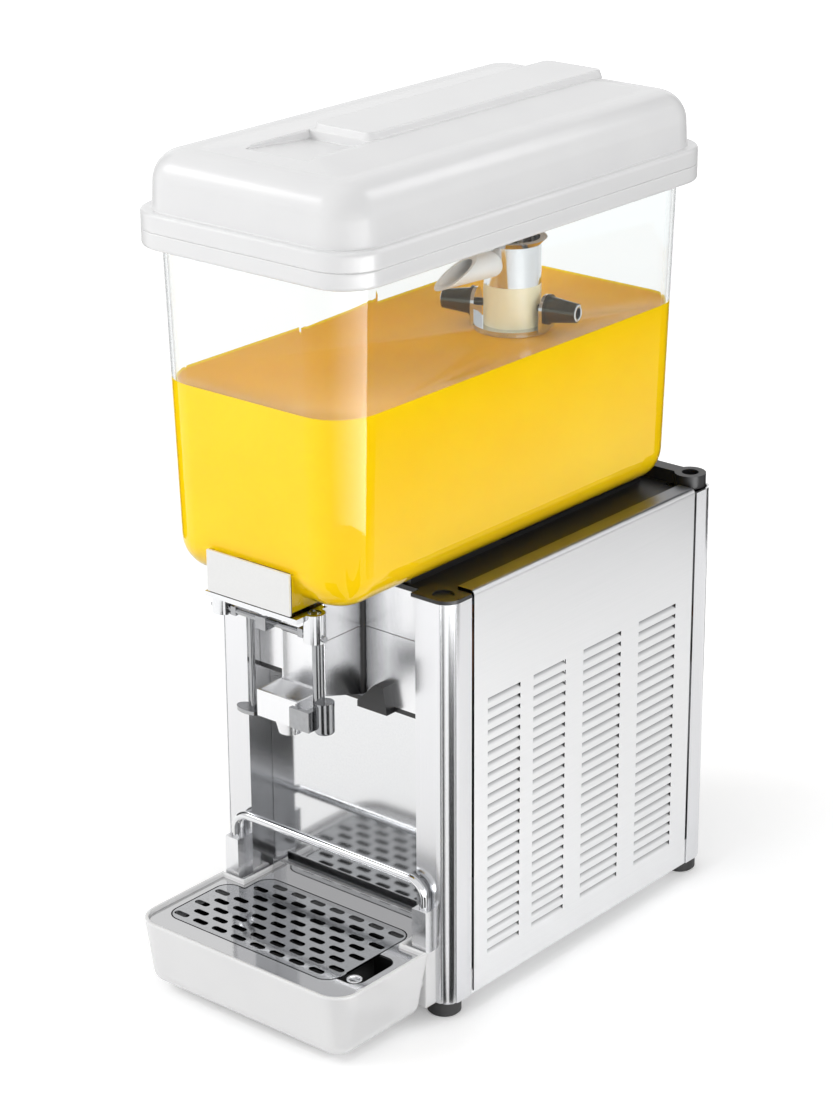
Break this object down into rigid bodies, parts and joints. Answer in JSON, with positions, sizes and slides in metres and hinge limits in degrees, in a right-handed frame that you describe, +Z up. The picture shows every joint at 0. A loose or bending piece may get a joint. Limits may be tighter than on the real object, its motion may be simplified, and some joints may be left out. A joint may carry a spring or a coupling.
{
  "type": "juice dispenser",
  "caption": "Chilled counter-top juice dispenser with a clear sprayed bowl, domed lid, lever tap, mirror splash panel, drip tray with grid and a louvred steel cabinet on rubber feet.",
  "frame": {"origin": "middle of the footprint's bounding box, on the counter under the feet", "axes": "+Z up, the tap and drip tray face -Y, +X is the viewer's right when facing the tap"},
  "size_m": [0.24, 0.4758, 0.689],
  "materials": {
    "aluminium_extrusion": "satin anodised",
    "brushed_stainless": "brushed",
    "polished_stainless": "mirror polished",
    "black_plastic": "matt moulded",
    "black_rubber": "matt",
    "clear_plastic": "clear polished",
    "juice": "liquid",
    "white_plastic": "satin moulded",
    "cream_plastic": "satin moulded",
    "dark_grey_plastic": "satin moulded",
    "grey_plastic": "satin moulded",
    "black_painted_steel": "semi-gloss",
    "aluminium_fins": "mill",
    "copper_tube": "drawn",
    "ferrite": "sintered"
  },
  "bodies": {
    "cabinet": {"corner_post_front_left": "aluminium_extrusion", "corner_post_front_right": "aluminium_extrusion", "corner_post_rear_left": "aluminium_extrusion", "corner_post_rear_right": "aluminium_extrusion", "feet": "black_rubber", "base_pan": "brushed_stainless", "side_panel_left": "brushed_stainless", "side_panel_right": "brushed_stainless", "rear_panel": "brushed_stainless", "splash_panel": "polished_stainless", "fascia_trim": "black_plastic", "nose_upper": "brushed_stainless", "nose_lower": "brushed_stainless", "pouring_spout": "white_plastic", "deck": "black_plastic", "evaporator": "brushed_stainless", "tray_hangers": "white_plastic", "rail_uprights": "polished_stainless", "cup_rail": "polished_stainless", "pump_motor": "black_painted_steel", "compressor_mounts": "black_rubber", "compressor": "black_painted_steel", "condenser": "aluminium_fins", "fan_shroud": "black_plastic", "fan_motor": "black_painted_steel", "refrigerant_pipes": "copper_tube", "switch_housings": "black_plastic", "thermostat": "black_plastic", "cable_gland": "black_plastic", "panel_screws": "brushed_stainless"},
    "bowl_assembly": {"bowl": "clear_plastic", "bowl_collar": "white_plastic", "bowl_gasket": "black_rubber", "juice_fill": "juice", "pump_housing": "white_plastic", "riser_tube": "white_plastic", "column_base": "polished_stainless", "spray_column": "cream_plastic", "column_sleeve": "brushed_stainless", "outlet_tube": "white_plastic", "spray_nozzles": "dark_grey_plastic", "spout_cover": "white_plastic", "lever_bracket": "polished_stainless", "valve_cage": "white_plastic"},
    "lid_body": {"lid": "white_plastic"},
    "lever_body": {"tap_lever": "polished_stainless"},
    "plunger_body": {"valve_plunger": "polished_stainless", "valve_seal": "black_rubber"},
    "impeller_body": {"impeller": "white_plastic"},
    "pump_rotor": {"drive_magnet": "ferrite"},
    "tray_body": {"drip_tray": "white_plastic", "tray_liner": "polished_stainless", "drain_pipe": "grey_plastic"},
    "grid_body": {"drip_grid": "brushed_stainless"},
    "fan_body": {"fan": "black_plastic"},
    "rocker_body_1": {"rocker_1": "black_plastic"},
    "rocker_body_2": {"rocker_2": "black_plastic"},
    "knob_body": {"thermostat_knob": "black_plastic"}
  },
  "joints": [
    {"name": "bowl_lift", "type": "slide", "parent": "cabinet", "child": "bowl_assembly", "axis": [0, 0, 1], "range_m": [0, 0.14]},
    {"name": "lid_lift", "type": "slide", "parent": "bowl_assembly", "child": "lid_body", "axis": [0, 0, 1], "range_m": [0, 0.12]},
    {"name": "lever_pull", "type": "hinge", "parent": "bowl_assembly", "child": "lever_body", "pos_m": [0, -0.189, 0.33], "axis": [-1, 0, 0], "range_deg": [0, 25]},
    {"name": "plunger_lift", "type": "slide", "parent": "bowl_assembly", "child": "plunger_body", "axis": [0, 0, 1], "range_m": [0, 0.0033]},
    {"name": "impeller_spin", "type": "hinge", "parent": "bowl_assembly", "child": "impeller_body", "pos_m": [0.034, 0.0585, 0.365], "axis": [0, 0, 1], "continuous": true},
    {"name": "rotor_spin", "type": "hinge", "parent": "cabinet", "child": "pump_rotor", "pos_m": [0.034, 0.0585, 0.345], "axis": [0, 0, 1], "continuous": true},
    {"name": "tray_pull", "type": "slide", "parent": "cabinet", "child": "tray_body", "axis": [0, -1, 0], "range_m": [0, 0.05]},
    {"name": "grid_lift", "type": "slide", "parent": "tray_body", "child": "grid_body", "axis": [0, 0, 1], "range_m": [0, 0.05]},
    {"name": "fan_spin", "type": "hinge", "parent": "cabinet", "child": "fan_body", "pos_m": [0.076, 0.083, 0.0995], "axis": [1, 0, 0], "continuous": true},
    {"name": "rocker_press_1", "type": "hinge", "parent": "cabinet", "child": "rocker_body_1", "pos_m": [-0.055, 0.223, 0.3], "axis": [1, 0, 0], "range_deg": [0, 16]},
    {"name": "rocker_press_2", "type": "hinge", "parent": "cabinet", "child": "rocker_body_2", "pos_m": [-0.025, 0.223, 0.3], "axis": [1, 0, 0], "range_deg": [0, 16]},
    {"name": "knob_turn", "type": "hinge", "parent": "cabinet", "child": "knob_body", "pos_m": [0.04, 0.223, 0.3], "axis": [0, 1, 0], "range_deg": [0, 270]}
  ],
  "couplings": [
    {"joint": "plunger_lift", "follows": "lever_pull", "m_per_rad": 0.0073339},
    {"joint": "impeller_spin", "follows": "rotor_spin", "ratio": 1}
  ]
}
